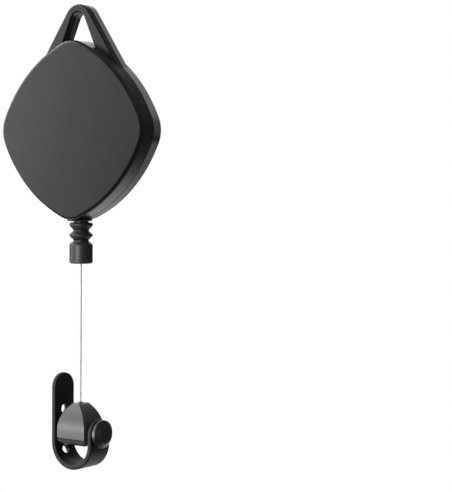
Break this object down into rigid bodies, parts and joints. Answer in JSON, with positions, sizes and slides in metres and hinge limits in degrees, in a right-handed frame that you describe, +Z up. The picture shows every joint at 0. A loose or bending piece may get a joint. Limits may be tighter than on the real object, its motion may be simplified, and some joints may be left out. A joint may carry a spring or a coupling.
{
  "type": "retractable hanging line reel",
  "caption": "Flat rounded-diamond spring reel with a hanging eye, a bellows outlet, a thin steel line and a buttoned rubber strap clip that holds a cable.",
  "frame": {"origin": "centre of the round seat in the hanging eye, where a hook's bar lies, in the line's plane", "axes": "+Z up along the line's axis, front face towards -Y, +X to the right seen from the front"},
  "size_m": [0.06, 0.0111, 0.1528],
  "materials": {
    "shell": "polished black ABS",
    "clip_plastic": "satin black nylon",
    "collar_plastic": "fine-textured black plastic",
    "buffer_rubber": "soft black rubber",
    "strap_rubber": "matte black silicone rubber",
    "button_plastic": "satin black plastic",
    "line_steel": "stranded stainless steel",
    "screw_steel": "zinc-plated steel",
    "spring_steel": "blued spring steel",
    "spool_acetal": "natural white acetal",
    "post_brass": "turned brass",
    "washer_nylon": "natural nylon",
    "bush_ceramic": "polished white acetal"
  },
  "bodies": {
    "housing": {"front_shell": "shell", "rear_shell": "shell", "case_screws": "screw_steel", "outlet_bush": "bush_ceramic", "buffer": "buffer_rubber", "collar": "collar_plastic", "axle_post": "post_brass", "axle_screw": "screw_steel", "axle_washer": "screw_steel", "thrust_washer": "washer_nylon", "line_lead": "line_steel"},
    "spool": {"spool": "spool_acetal", "spool_cover": "spool_acetal", "power_spring": "spring_steel", "line_wound": "line_steel", "line_anchor": "screw_steel"},
    "line_end": {"line": "line_steel", "line_crimp": "screw_steel"},
    "clip": {"clip_body": "clip_plastic", "strap_button": "button_plastic"},
    "strap": {"strap": "strap_rubber"}
  },
  "joints": [
    {"name": "line_pull", "type": "slide", "parent": "housing", "child": "line_end", "axis": [0, 0, -1], "range_m": [-0.0455, 1.3], "stiffness_N_per_m": 0.616, "springref_m": -0.0446, "deforming": ["line"]},
    {"name": "spool_spin", "type": "hinge", "parent": "housing", "child": "spool", "pos_m": [0, 0, -0.0356], "axis": [0, 1, 0], "range_deg": [-155, 4360]},
    {"name": "clip_swivel", "type": "hinge", "parent": "line_end", "child": "clip", "pos_m": [0, 0, -0.1351], "axis": [0, 0, 1], "continuous": true},
    {"name": "strap_swing", "type": "hinge", "parent": "clip", "child": "strap", "pos_m": [0, 0, -0.1351], "axis": [1, 0, 0], "range_deg": [-90, 90]}
  ],
  "couplings": [
    {"joint": "spool_spin", "follows": "line_pull", "rad_per_m": 58.48}
  ]
}
